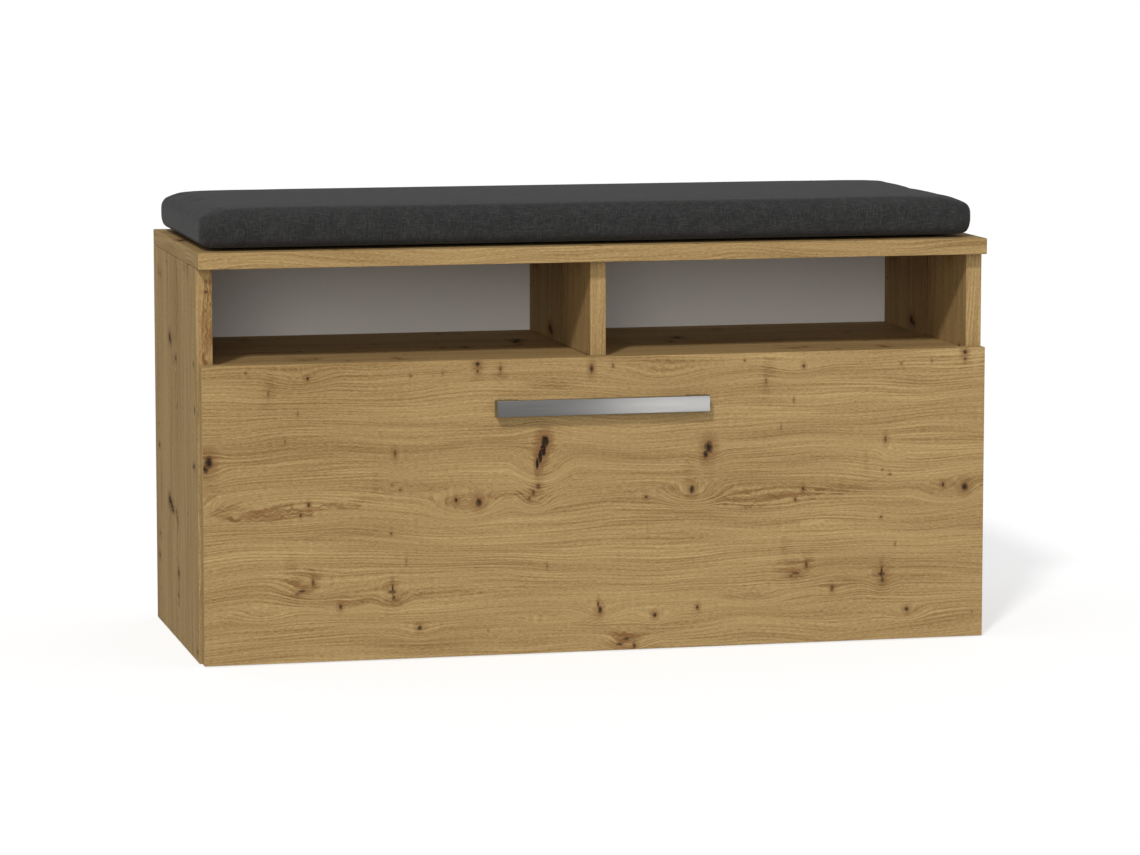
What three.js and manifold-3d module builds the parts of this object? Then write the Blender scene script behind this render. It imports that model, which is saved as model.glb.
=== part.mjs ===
// Entryway bench: a board case with two open compartments, one wide drawer on
// roller slides below them, a bar handle and a flat seat cushion on top.
// Millimetres, +Z up. X = 0 is the middle of the case, Z = 0 is the floor, the
// front faces -Y, and Y = 0 is halfway between the handle's face and the rear edges.
import * as THREE from 'three';
import Module from 'manifold-3d';
import { mergeVertices } from 'three/addons/utils/BufferGeometryUtils.js';

const wasm = await Module();
wasm.setup();

// Driving dimensions
const width = 800;              // over the side panels
const caseDepth = 292;          // side panels, front edge to rear edge
const caseHeight = 405;         // floor to the top board's upper face
const board = 16;               // laminated chipboard
const hdf = 3;                  // thin back and drawer bottom panels
const fit = 0.3;                // gap left between pieces that touch
const over = 1;                 // how far a drill or cutter starts outside the face it cuts
const topOverhang = 17;         // top board in front of the side panels
const shelfTop = 293;           // upper face of the shelf under the compartments
const backInset = 14.4;         // rear edges to the back panel's groove, less the groove
const grooveDepth = 6;
const backBottom = 0.5;         // back panel, clear of the floor
const dividerCentre = 2.5;      // the divider stands a little right of the middle
const dividerSetback = 4;
const shelfSetback = 2;

const frontGap = 4;             // case front edges to the drawer front's back face
const frontSideInset = 2;       // drawer front narrower than the case, each side
const frontBottom = 1;
const frontTop = 295.4;

const handleLength = 216;
const handleHeight = 16;
const handleReach = 14;         // drawer front to the handle's face
const handleThickness = 4.8;
const handleFoot = 22;
const handleHoles = 192;        // screw to screw
const handleZ = 247.5;
const handleScrewHole = 2.4;    // radius, through the drawer front
const handleThread = 2.2;       // radius of the hole in the handle, and its depth
const handleThreadDepth = 11;

const cushionWidth = 783;
const cushionDepth = 290;
const cushionTop = 446.5;
const cushionShift = -2.5;      // the cushion lies a little left of the middle
const cushionFront = -7;        // measured from the case front edges
const coverThickness = 1;
const cornerRadius = 10;

const slideGap = 12.5;          // side panel to drawer side
const railLength = 250;
const railFront = 2;
const steel = 1.2;
const pinHole = 2.2;            // radius, for a riveted roller pin
const rollerRadius = 8.5;
const rollerWidth = 6.6;
const rollerAxisZ = 34;         // drawer roller; the case roller sits a little higher
const caseRollerLift = 2;
const caseRollerY = 12;
const drawerRollerY = 232;
const drawerBottomEdge = 30;
const drawerHeight = 200;
const drawerLength = 249.7;

// Worked out from the driving dimensions, measured from the case front edges
const half = width / 2;
const inner = half - board;                       // side panel's inner face
const topUnder = caseHeight - board;              // top board's lower face
const sideTop = topUnder - fit;
const shelfUnder = shelfTop - board;
const grooveFront = caseDepth - backInset;
const boardRear = grooveFront - fit;              // rear edge of shelf, divider, bottom
const frontFace = -frontGap - board;
const handleFace = frontFace - handleReach;
const drawerOut = inner - slideGap;               // drawer side's outer face
const drawerIn = drawerOut - board;
const drawerFrontEnd = -frontGap + fit;
const drawerTop = drawerBottomEdge + drawerHeight;
const drawerRear = drawerFrontEnd + drawerLength;
const bottomSlot = drawerBottomEdge + 10;         // groove for the drawer bottom
const bottomSlotTop = bottomSlot + hdf + 2 * fit;
const drawerRailOuter = drawerOut + fit + steel;
const caseRailInner = inner - fit - steel;

const standard = (color, roughness, metalness = 0) =>
  new THREE.MeshStandardMaterial({ color, roughness, metalness });

const materials = {
  oak: standard(0xa08358, 0.6),
  whiteBoard: standard(0xd8d5ce, 0.55),
  whiteHdf: standard(0xcfcbc4, 0.6),
  beech: standard(0xcaa36b, 0.7),
  epoxySteel: standard(0xd6d6d2, 0.45, 0.2),
  zinc: standard(0xa9adb1, 0.35, 1),
  nylon: standard(0xe6e4dc, 0.5),
  aluminium: standard(0x9fa1a4, 0.32, 1),
  fabric: standard(0x3c3e40, 0.95),
  foam: standard(0xe9e2c8, 0.95),
  hookLoop: standard(0x24252a, 0.95),
  pad: standard(0xdedbd2, 0.7),
};

// ---- Geometry helpers ----

// A closed geometry as a solid that can be joined and cut
function solid(geometry) {
  geometry.deleteAttribute('normal');
  geometry.deleteAttribute('uv');
  const merged = mergeVertices(geometry, 1e-4);
  return new wasm.Manifold(new wasm.Mesh({
    numProp: 3,
    vertProperties: new Float32Array(merged.attributes.position.array),
    triVerts: new Uint32Array(merged.index.array),
  }));
}

// The solid's surface as a geometry again
function surface(body) {
  const mesh = body.getMesh();
  const geometry = new THREE.BufferGeometry();
  geometry.setAttribute('position', new THREE.BufferAttribute(mesh.vertProperties, 3));
  geometry.setIndex(new THREE.BufferAttribute(mesh.triVerts, 1));
  geometry.computeVertexNormals();
  return geometry;
}

function cut(geometry, cutters) {
  return surface(cutters.reduce((body, tool) => body.subtract(solid(tool)), solid(geometry)));
}

// A box between two values on each axis, in either order
function box(x, y, z) {
  const size = [x, y, z].map(([a, b]) => Math.abs(b - a));
  const centre = [x, y, z].map(([a, b]) => (a + b) / 2);
  return new THREE.BoxGeometry(...size).translate(...centre);
}

// Turns a shape whose axis is +Y so that the axis is x, y or z, with a sign
function along(geometry, axis) {
  const turns = {
    x: (g) => g.rotateZ(-Math.PI / 2),
    '-x': (g) => g.rotateZ(Math.PI / 2),
    y: (g) => g,
    '-y': (g) => g.rotateX(Math.PI),
    z: (g) => g.rotateX(Math.PI / 2),
    '-z': (g) => g.rotateX(-Math.PI / 2),
  };
  return turns[axis](geometry);
}

// A round rod or drill that starts at a point and runs along an axis
function rod(axis, start, length, radius, facets = 16) {
  const geometry = new THREE.CylinderGeometry(radius, radius, length, facets);
  geometry.translate(0, length / 2, 0);
  return along(geometry, axis).translate(...start);
}

// A turned piece: radius and distance pairs that start and end on the axis
function turned(axis, start, profile, facets = 16) {
  const points = profile.map(([r, h]) => new THREE.Vector2(r, h));
  const geometry = new THREE.LatheGeometry(points, facets);
  return along(geometry, axis).translate(...start);
}

// A section given as points across X and Z, run along Y between two places
function runAlongY(points, y0, y1) {
  const shape = new THREE.Shape(points.map(([x, z]) => new THREE.Vector2(x, z)));
  const geometry = new THREE.ExtrudeGeometry(shape, { depth: y1 - y0, bevelEnabled: false });
  return geometry.rotateX(Math.PI / 2).translate(0, y1, 0);
}

// A plan outline across X and Y, run up Z between two heights
function runUp(shape, z0, z1) {
  const geometry = new THREE.ExtrudeGeometry(shape, {
    depth: z1 - z0, bevelEnabled: false, curveSegments: 6,
  });
  return geometry.translate(0, 0, z0);
}

function roundedRectangle(x0, x1, y0, y1, radius) {
  const shape = new THREE.Shape();
  shape.moveTo(x0 + radius, y0);
  shape.absarc(x1 - radius, y0 + radius, radius, -Math.PI / 2, 0);
  shape.absarc(x1 - radius, y1 - radius, radius, 0, Math.PI / 2);
  shape.absarc(x0 + radius, y1 - radius, radius, Math.PI / 2, Math.PI);
  shape.absarc(x0 + radius, y0 + radius, radius, Math.PI, 1.5 * Math.PI);
  return shape;
}

// All pieces are placed from the case front edges, then moved to the bench's origin
const bench = new THREE.Group();
bench.position.y = -(caseDepth + handleFace) / 2;

function add(name, geometry, material) {
  const mesh = new THREE.Mesh(geometry, materials[material]);
  mesh.name = name;
  bench.add(mesh);
}

const sides = [['left', -1], ['right', 1]];
const inward = (side) => (side < 0 ? 'x' : '-x');
const outward = (side) => (side < 0 ? '-x' : 'x');

// ---- Fastener places ----

const dowelRadius = 4;
const dowelHole = 4.15;
const topDowelY = [50, 240];
const topDowelDepth = { side: 24, top: 11 };
const dividerDowelY = [60, 220];
const dividerDowelDepth = { shelf: 12, divider: 14 };
const camY = [45, 235];
const camX = 360;
const camZ = shelfUnder + board / 2;
const camRadius = 7.3;
const camDepth = 12.2;
const boltDepth = 10;
const boltHole = 2.7;           // radius in the side panel
const boltPassage = 3.9;        // radius in the shelf's end
const passageEnd = camX + 5;
const railScrewY = [29, 246.5];
const railScrewHole = 2;
const railScrewDepth = 12;
const drawerDowelZ = 130;
const drawerDowelDepth = { front: 12, side: 20 };

// ---- Case boards ----

function sidePanel(name, side) {
  const outer = side * half;
  const face = side * inner;
  const slot = side * (inner + grooveDepth);
  const slotRear = grooveFront + hdf + 2 * fit;
  const outline = new THREE.Shape([
    [outer, 0], [face, 0], [face, grooveFront], [slot, grooveFront],
    [slot, slotRear], [face, slotRear], [face, caseDepth], [outer, caseDepth],
  ].map(([x, y]) => new THREE.Vector2(x, y)));
  const middle = side * (half - board / 2);
  const depth = topDowelDepth.side;
  const start = face - side * over;
  const holes = [
    ...topDowelY.map((y) => rod('z', [middle, y, sideTop - depth], depth + over, dowelHole)),
    ...camY.map((y) =>
      rod(outward(side), [start, y, camZ], boltDepth + over + 0.5, boltHole)),
    ...railScrewY.map((y) =>
      rod(outward(side), [start, y, rollerAxisZ], railScrewDepth + over, railScrewHole)),
  ];
  add(name, cut(runUp(outline, 0, sideTop), holes), 'oak');
}

function caseBoards() {
  for (const [label, side] of sides) sidePanel(`${label}_side_panel`, side);

  const topHoles = sides.flatMap(([, side]) => topDowelY.map((y) =>
    rod('z', [side * (half - board / 2), y, topUnder - over], topDowelDepth.top + over, dowelHole)));
  const top = box([-half, half], [-topOverhang, caseDepth], [topUnder, caseHeight]);
  add('top_board', cut(top, topHoles), 'oak');

  const reach = inner - fit;
  const shelfHoles = [];
  for (const [, side] of sides) {
    for (const y of camY) {
      shelfHoles.push(rod('z', [side * camX, y, shelfUnder - over],
        camDepth + over + 2 * fit, camRadius + fit));
      shelfHoles.push(rod(inward(side), [side * (reach + over), y, camZ],
        reach + over - passageEnd, boltPassage));
    }
  }
  for (const y of dividerDowelY) {
    const depth = dividerDowelDepth.shelf;
    shelfHoles.push(rod('z', [dividerCentre, y, shelfTop - depth], depth + over, dowelHole));
  }
  const shelf = box([-reach, reach], [shelfSetback, boardRear], [shelfUnder, shelfTop]);
  add('middle_shelf', cut(shelf, shelfHoles), 'oak');

  add('bottom_board', box([-reach, reach], [shelfSetback, boardRear], [0, board]), 'oak');

  const dividerFoot = shelfTop + fit;
  const divider = box([dividerCentre - board / 2, dividerCentre + board / 2],
    [dividerSetback, boardRear], [dividerFoot, sideTop]);
  const depth = dividerDowelDepth.divider;
  add('centre_divider', cut(divider, dividerDowelY.map((y) =>
    rod('z', [dividerCentre, y, dividerFoot - over], depth + over, dowelHole))), 'oak');

  const tongue = inner + grooveDepth - fit;
  add('back_panel', box([-tongue, tongue],
    [grooveFront + fit, grooveFront + fit + hdf], [backBottom, sideTop]), 'whiteHdf');
}

// ---- Drawer box and front ----

function drawerSide(name, side) {
  const slot = side * (drawerIn + grooveDepth);
  const outer = side * drawerOut;
  const face = side * drawerIn;
  const section = [
    [outer, drawerBottomEdge], [outer, drawerTop], [face, drawerTop], [face, bottomSlotTop],
    [slot, bottomSlotTop], [slot, bottomSlot], [face, bottomSlot], [face, drawerBottomEdge],
  ];
  const middle = side * (drawerOut - board / 2);
  const dowel = rod('y', [middle, drawerFrontEnd - over, drawerDowelZ],
    drawerDowelDepth.side + over, dowelHole);
  add(name, cut(runAlongY(section, drawerFrontEnd, drawerRear), [dowel]), 'whiteBoard');
}

function drawerBoards() {
  for (const [label, side] of sides) drawerSide(`drawer_${label}_side`, side);

  const reach = drawerIn - fit;
  add('drawer_back', box([-reach, reach], [drawerRear - board, drawerRear],
    [bottomSlotTop, drawerTop]), 'whiteBoard');

  const tongue = drawerIn + grooveDepth - fit;
  add('drawer_bottom', box([-tongue, tongue], [drawerFrontEnd, drawerRear],
    [bottomSlot + fit, bottomSlot + fit + hdf]), 'whiteHdf');

  const middle = drawerOut - board / 2;
  const depth = drawerDowelDepth.front;
  const holes = sides.flatMap(([, side]) => [
    rod('-y', [side * middle, over - frontGap, drawerDowelZ], depth + over, dowelHole),
    rod('-y', [side * handleHoles / 2, over - frontGap, handleZ],
      board + 2 * over, handleScrewHole),
  ]);
  const reachFront = half - frontSideInset;
  const front = box([-reachFront, reachFront], [frontFace, -frontGap], [frontBottom, frontTop]);
  add('drawer_front', cut(front, holes), 'oak');
}

// ---- Handle ----

function handle() {
  const end = handleLength / 2;
  const foot = end - handleFoot;
  const back = handleFace + handleThickness;
  const base = frontFace - fit;
  const bevel = 0.8;
  const outline = new THREE.Shape([
    [-end, base], [-end, handleFace + bevel], [-end + bevel, handleFace],
    [end - bevel, handleFace], [end, handleFace + bevel], [end, base],
    [foot, base], [foot, back], [-foot, back], [-foot, base],
  ].map(([x, y]) => new THREE.Vector2(x, y)));
  const bar = runUp(outline, handleZ - handleHeight / 2, handleZ + handleHeight / 2);
  const holes = sides.map(([, side]) =>
    rod('-y', [side * handleHoles / 2, base + over, handleZ],
      handleThreadDepth + over, handleThread));
  add('handle', cut(bar, holes), 'aluminium');

  const head = 2.5;
  const headStart = -frontGap + fit + head;
  for (const [label, side] of sides) {
    const screw = [[0, 0], [3.9, 0], [3.9, head], [2, head], [2, 28], [0, 29]];
    add(`handle_screw_${label}`,
      turned('-y', [side * handleHoles / 2, headStart, handleZ], screw), 'zinc');
  }
}

// ---- Roller slides ----

function caseRail(label, side) {
  const web = side * (inner - fit);
  const face = side * caseRailInner;
  const tip = side * (drawerRailOuter + 0.6);
  const low = rollerAxisZ - rollerRadius - fit - steel;
  const high = rollerAxisZ + rollerRadius + 0.5 + steel;
  const section = [
    [web, low], [tip, low], [tip, low + steel], [face, low + steel],
    [face, high - steel], [tip, high - steel], [tip, high], [web, high],
  ];
  const axleZ = rollerAxisZ + caseRollerLift;
  const start = web + side * over;
  const drill = 4;
  const notchEnd = caseRollerY + rollerRadius + 2.5;
  const cutters = [
    box([face, tip - side], [railFront - over, notchEnd], [high - steel - 0.1, high + over]),
    rod(inward(side), [start, caseRollerY, axleZ], drill, pinHole),
    ...railScrewY.map((y) => rod(inward(side), [start, y, rollerAxisZ], drill, railScrewHole)),
  ];
  const rail = runAlongY(section, railFront, railFront + railLength);
  add(`case_rail_${label}`, cut(rail, cutters), 'epoxySteel');

  const shank = [[0, 0], [3, 0], [3, 0.7], [1.7, 0.7], [1.7, 11.5], [0, 13]];
  railScrewY.forEach((y, i) => add(`rail_screw_${label}_${i + 1}`,
    turned(outward(side), [face - side * 1, y, rollerAxisZ], shank), 'zinc'));
}

function drawerRail(label, side) {
  const web = side * (drawerOut + fit);
  const face = side * drawerRailOuter;
  const under = side * (drawerOut - 12);
  const lip = side * (caseRailInner - 1);
  const low = drawerBottomEdge - fit - steel;
  const high = rollerAxisZ + rollerRadius + caseRollerLift + fit + steel;
  const section = [
    [under, low], [face, low], [face, high - steel], [lip, high - steel],
    [lip, high], [web, high], [web, low + steel], [under, low + steel],
  ];
  const start = drawerFrontEnd + 0.7;
  const rail = runAlongY(section, start, start + railLength);
  const hole = rod(outward(side), [web - side * over, drawerRollerY, rollerAxisZ], 4, pinHole);
  add(`drawer_rail_${label}`, cut(rail, [hole]), 'epoxySteel');
}

// A riveted pin: neck in the rail, shoulder, axle and outer head
const pinProfile = [
  [0, 0], [1.9, 0], [1.9, 1.5], [3.4, 1.5], [3.4, 2.3],
  [2.5, 2.3], [2.5, 9.4], [3.8, 9.4], [3.8, 10], [0, 10],
];

function roller(name, axis, start) {
  const bore = 2.6;
  const edge = 0.6;
  const profile = [
    [bore, 0], [rollerRadius - edge, 0], [rollerRadius, edge], [rollerRadius, rollerWidth - edge],
    [rollerRadius - edge, rollerWidth], [bore, rollerWidth], [bore, 0],
  ];
  add(name, turned(axis, start, profile, 32), 'nylon');
}

function rollers(label, side) {
  const caseAxle = [side * (inner - fit), caseRollerY, rollerAxisZ + caseRollerLift];
  const drawerAxle = [side * (drawerOut + fit), drawerRollerY, rollerAxisZ];
  const shift = (axle, distance) => [axle[0] + distance, axle[1], axle[2]];
  const clear = 2.6;
  add(`case_roller_pin_${label}`, turned(inward(side), caseAxle, pinProfile), 'zinc');
  roller(`case_roller_${label}`, inward(side), shift(caseAxle, -side * clear));
  add(`drawer_roller_pin_${label}`, turned(outward(side), drawerAxle, pinProfile), 'zinc');
  roller(`drawer_roller_${label}`, outward(side), shift(drawerAxle, side * clear));
}

// ---- Joinery ----

function dowel(name, axis, start, length) {
  const chamfer = 1;
  const profile = [
    [0, 0], [dowelRadius - chamfer, 0], [dowelRadius, chamfer],
    [dowelRadius, length - chamfer], [dowelRadius - chamfer, length], [0, length],
  ];
  add(name, turned(axis, start, profile, 12), 'beech');
}

function joinery() {
  const cross = board / 2;
  for (const [label, side] of sides) {
    const column = side * (half - cross);
    topDowelY.forEach((y, i) => {
      const foot = sideTop - topDowelDepth.side + 0.5;
      const length = topDowelDepth.side + topDowelDepth.top - 0.7;
      dowel(`top_dowel_${label}_${i + 1}`, 'z', [column, y, foot], length);
    });
    camY.forEach((y, i) => {
      camFastener(`${label}_${i + 1}`, side, y);
    });
    const front = -frontGap - drawerDowelDepth.front + 0.4;
    dowel(`drawer_dowel_${label}`, 'y', [side * (drawerOut - cross), front, drawerDowelZ],
      drawerDowelDepth.front + drawerDowelDepth.side - 0.6);
  }
  dividerDowelY.forEach((y, i) => {
    const foot = shelfTop - dividerDowelDepth.shelf + 0.4;
    const length = dividerDowelDepth.shelf + dividerDowelDepth.divider - 0.6;
    dowel(`divider_dowel_${i + 1}`, 'z', [dividerCentre, y, foot], length);
  });
}

// A cam lock under the shelf that draws in a bolt fixed in the side panel
function camFastener(label, side, y) {
  const cam = rod('z', [side * camX, y, shelfUnder + fit], camDepth, camRadius);
  const mouth = rod(inward(side), [side * (camX + camRadius + 1), y, camZ], camRadius + 4, 3.5);
  add(`cam_lock_${label}`, cut(cam, [mouth]), 'zinc');

  const reach = inner + boltDepth - camX;
  const profile = [
    [0, 0], [2.5, 0], [2.5, boltDepth + fit], [3.6, boltDepth + 1], [3.6, boltDepth + 2],
    [2, boltDepth + 2], [2, reach - 2], [3, reach - 1.2], [3, reach + 1], [0, reach + 1],
  ];
  add(`cam_bolt_${label}`,
    turned(inward(side), [side * (inner + boltDepth), y, camZ], profile, 12), 'zinc');
}

function bumperPads() {
  const thickness = frontGap - 2 * fit;
  for (const [label, side] of sides) {
    [['low', 24], ['high', 266]].forEach(([height, z]) => {
      const pad = [[0, 0], [4.5, 0], [4.5, thickness - 1], [3.6, thickness], [0, thickness]];
      add(`bumper_pad_${label}_${height}`,
        turned('-y', [side * (half - board / 2), -fit, z], pad, 16), 'pad');
    });
  }
}

// ---- Cushion ----

function cushion() {
  const x0 = cushionShift - cushionWidth / 2;
  const x1 = cushionShift + cushionWidth / 2;
  const y1 = cushionFront + cushionDepth;
  const outline = (inset, radius) => roundedRectangle(
    x0 + inset, x1 - inset, cushionFront + inset, y1 - inset, radius);
  const stripThickness = 1;
  const stripStart = caseHeight + fit;
  const loopStart = stripStart + stripThickness + fit;
  const baseStart = loopStart + stripThickness + fit;
  const foamStart = baseStart + hdf + fit;
  const foamEnd = cushionTop - coverThickness - fit;
  const hollow = coverThickness;
  const lining = hollow + fit;

  const shell = cut(runUp(outline(0, cornerRadius), baseStart, cushionTop),
    [runUp(outline(hollow, cornerRadius - hollow), baseStart - over, cushionTop - hollow)]);
  add('cushion_cover', shell, 'fabric');
  add('cushion_base_board',
    runUp(outline(lining, cornerRadius - lining), baseStart, baseStart + hdf), 'whiteHdf');
  add('cushion_foam', runUp(outline(lining, cornerRadius - lining), foamStart, foamEnd), 'foam');

  const stripX = 300;
  const stripWidth = 25;
  const stripY = [40, 240];
  for (const [label, side] of sides) {
    const across = [side * stripX - stripWidth / 2, side * stripX + stripWidth / 2];
    add(`hook_strip_${label}`,
      box(across, stripY, [stripStart, stripStart + stripThickness]), 'hookLoop');
    add(`loop_strip_${label}`,
      box(across, stripY, [loopStart, loopStart + stripThickness]), 'hookLoop');
  }
}

caseBoards();
drawerBoards();
handle();
for (const [label, side] of sides) {
  caseRail(label, side);
  drawerRail(label, side);
  rollers(label, side);
}
joinery();
bumperPads();
cushion();

const scene = new THREE.Group();
scene.add(bench);
export default scene;
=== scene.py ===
from math import cos, radians, sin, tau

import bmesh
import bpy
from mathutils import Matrix, Vector


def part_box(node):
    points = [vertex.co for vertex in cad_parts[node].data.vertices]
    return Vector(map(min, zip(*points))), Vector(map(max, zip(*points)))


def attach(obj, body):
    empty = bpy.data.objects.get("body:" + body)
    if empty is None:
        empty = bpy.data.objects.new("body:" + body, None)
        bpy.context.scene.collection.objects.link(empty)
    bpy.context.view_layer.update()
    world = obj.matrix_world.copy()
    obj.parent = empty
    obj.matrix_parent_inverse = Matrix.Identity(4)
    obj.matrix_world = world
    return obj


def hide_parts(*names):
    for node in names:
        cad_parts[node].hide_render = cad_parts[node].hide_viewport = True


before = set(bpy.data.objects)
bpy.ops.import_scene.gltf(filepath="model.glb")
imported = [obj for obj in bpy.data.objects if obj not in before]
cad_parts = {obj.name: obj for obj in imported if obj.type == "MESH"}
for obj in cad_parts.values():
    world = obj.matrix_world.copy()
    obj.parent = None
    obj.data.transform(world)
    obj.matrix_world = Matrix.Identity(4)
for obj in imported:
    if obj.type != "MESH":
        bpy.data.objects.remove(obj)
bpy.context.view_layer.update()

bl_info = {
    "name": "Entryway Bench",
    "version": (1, 0, 0),
    "blender": (4, 5, 0),
    "location": "3D View > Sidebar > Bench",
    "description": "Builds a hallway bench with a drawer, open compartments and a seat cushion",
    "category": "Add Mesh",
}

MM = 0.001


# ---------------------------------------------------------------- settings

class BenchBoardSettings(bpy.types.PropertyGroup):
    edge_radius: bpy.props.FloatProperty(
        name="Edge radius", description="Rounding of the edge banding",
        default=0.6 * MM, min=0, unit="LENGTH", precision=5)
    oak_light: bpy.props.StringProperty(
        name="Light oak", description="Earlywood colour of the decor, sRGB hex", default="#BC9F6D")
    oak_dark: bpy.props.StringProperty(
        name="Dark oak", description="Latewood colour of the decor, sRGB hex", default="#81643B")
    oak_red: bpy.props.StringProperty(
        name="Red oak", description="Stain round knots and in streaks, sRGB hex", default="#7A5633")
    knot: bpy.props.StringProperty(
        name="Knot", description="Heart of a knot or crack, sRGB hex", default="#2A1D15")


class BenchCushionSettings(bpy.types.PropertyGroup):
    voxel: bpy.props.FloatProperty(
        name="Cloth cell", description="Cell size of the mesh that is simulated",
        default=5 * MM, min=1 * MM, unit="LENGTH", precision=5)
    pressure: bpy.props.FloatProperty(
        name="Foam pressure", description="How hard the foam pushes the cover out", default=4.0, min=0)
    swell_limit: bpy.props.FloatProperty(
        name="Swell limit", description="Most that the cover moves outwards",
        default=3.5 * MM, min=0, unit="LENGTH", precision=5)
    crown: bpy.props.FloatProperty(
        name="Crown", description="How far the top falls away towards its rim",
        default=2.5 * MM, min=0, unit="LENGTH", precision=5)
    dark_yarn: bpy.props.StringProperty(
        name="Dark yarn", description="Darker thread of the melange, sRGB hex", default="#292929")
    light_yarn: bpy.props.StringProperty(
        name="Light yarn", description="Lighter thread of the melange, sRGB hex", default="#403F3E")


class BenchHandleSettings(bpy.types.PropertyGroup):
    edge_radius: bpy.props.FloatProperty(
        name="Edge radius", description="Rounding of the bar's long edges",
        default=0.5 * MM, min=0, unit="LENGTH", precision=5)
    colour: bpy.props.StringProperty(
        name="Colour", description="Satin aluminium, sRGB hex", default="#8F8E8C")


class BenchStageSettings(bpy.types.PropertyGroup):
    azimuth: bpy.props.FloatProperty(
        name="Camera azimuth", description="How far the camera stands round to the left",
        default=radians(-13.23), subtype="ANGLE")
    elevation: bpy.props.FloatProperty(
        name="Camera elevation", description="How far the camera looks down",
        default=radians(7.04), subtype="ANGLE")
    distance: bpy.props.FloatProperty(
        name="Camera distance", description="From the point that is looked at",
        default=4.55, min=0.1, unit="LENGTH")
    lens: bpy.props.FloatProperty(
        name="Focal length", description="On a 36 mm sensor, in millimetres",
        default=142.2, min=1)
    key_strength: bpy.props.FloatProperty(
        name="Key light", description="Studio light from the front left, in watts per square metre",
        default=1.6, min=0)
    fill_strength: bpy.props.FloatProperty(
        name="Front light", description="Wide light from beside the camera, in watts per square metre",
        default=0.9, min=0)
    key_spread: bpy.props.FloatProperty(
        name="Key spread", description="How wide the key light looks, which softens its shadows",
        default=radians(6), subtype="ANGLE")
    ambient: bpy.props.FloatProperty(
        name="Room light", description="Strength of the even light from all round",
        default=0.44, min=0)


# ---------------------------------------------------------------- mesh helpers

def new_piece(name, bm, body, materials, stands_for):
    """Makes an object of a bmesh, and tells the frame what it rides on and replaces."""
    mesh = bpy.data.meshes.new(name)
    bm.to_mesh(mesh)
    bm.free()
    piece = bpy.data.objects.new(name, mesh)
    bpy.context.scene.collection.objects.link(piece)
    for material in materials:
        mesh.materials.append(material)
    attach(piece, body)
    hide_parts(*stands_for)
    return piece


def box_mesh(low, high):
    """A bmesh block between two corners."""
    bm = bmesh.new()
    size = Vector(high) - Vector(low)
    middle = (Vector(high) + Vector(low)) / 2
    place = Matrix.Translation(middle) @ Matrix.Diagonal((*size, 1))
    bmesh.ops.create_cube(bm, size=1, matrix=place)
    return bm


def drill_mesh(start, direction, length, radius, segments):
    """A round cutter that starts at a point and runs along a direction."""
    bm = bmesh.new()
    direction = Vector(direction).normalized()
    turn = direction.to_track_quat("Z", "Y").to_matrix().to_4x4()
    place = Matrix.Translation(Vector(start) + direction * length / 2) @ turn
    bmesh.ops.create_cone(bm, cap_ends=True, segments=segments, radius1=radius,
                          radius2=radius, depth=length, matrix=place)
    return bm


def temporary(name, bm):
    """An object made of a bmesh, which is used up."""
    mesh = bpy.data.meshes.new(name)
    bm.to_mesh(mesh)
    bm.free()
    thing = bpy.data.objects.new(name, mesh)
    bpy.context.scene.collection.objects.link(thing)
    return thing


def settled_mesh(thing):
    """A bmesh of an object with its modifiers applied."""
    graph = bpy.context.evaluated_depsgraph_get()
    bm = bmesh.new()
    bm.from_object(thing, graph)
    return bm


def discard(thing):
    """Removes an object and its mesh."""
    mesh = thing.data
    bpy.data.objects.remove(thing)
    bpy.data.meshes.remove(mesh)


def carved(bm, cutters):
    """A bmesh with grooves and holes cut out of it."""
    block = temporary("block", bm)
    tools = [temporary("cutter", cutter) for cutter in cutters]
    for tool in tools:
        cut = block.modifiers.new("cut", "BOOLEAN")
        cut.operation = "DIFFERENCE"
        cut.solver = "EXACT"
        cut.object = tool
    result = settled_mesh(block)
    for thing in (block, *tools):
        discard(thing)
    return result


def soften(bm, radius, segments=2):
    """Rounds every edge where faces meet at more than 30 degrees."""
    limit = radians(30)
    sharp = [e for e in bm.edges if e.is_manifold and e.calc_face_angle(0) > limit]
    bmesh.ops.bevel(bm, geom=sharp, offset=radius, offset_type="OFFSET", segments=segments,
                    profile=0.5, affect="EDGES", material=-1, clamp_overlap=True)


def extruded(points, direction):
    """A closed solid made of a flat outline moved along a direction."""
    bm = bmesh.new()
    verts = [bm.verts.new(p) for p in points]
    face = bm.faces.new(verts)
    moved = bmesh.ops.extrude_face_region(bm, geom=[face])["geom"]
    bmesh.ops.translate(bm, vec=Vector(direction),
                        verts=[g for g in moved if isinstance(g, bmesh.types.BMVert)])
    bmesh.ops.recalc_face_normals(bm, faces=bm.faces)
    return bm


def turned(profile, start, direction, steps):
    """A lathe piece: pairs of radius and distance along a direction from a start."""
    bm = bmesh.new()
    direction = Vector(direction).normalized()
    side = direction.orthogonal().normalized()
    origin = Vector(start)
    verts = [bm.verts.new(origin + direction * h + side * r) for r, h in profile]
    edges = [bm.edges.new(pair) for pair in zip(verts, verts[1:])]
    bmesh.ops.spin(bm, geom=verts + edges, cent=origin, axis=direction,
                   angle=tau, steps=steps, use_merge=True, use_duplicate=False)
    bmesh.ops.remove_doubles(bm, verts=bm.verts, dist=1e-6)
    bmesh.ops.recalc_face_normals(bm, faces=bm.faces)
    return bm


def smooth(piece):
    """Smooth shading with hard edges kept where faces meet at more than 40 degrees."""
    for polygon in piece.data.polygons:
        polygon.use_smooth = True
    bm = bmesh.new()
    bm.from_mesh(piece.data)
    for edge in bm.edges:
        edge.smooth = edge.calc_face_angle(0) < radians(40)
    bm.to_mesh(piece.data)
    bm.free()


# ---------------------------------------------------------------- material helpers

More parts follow.
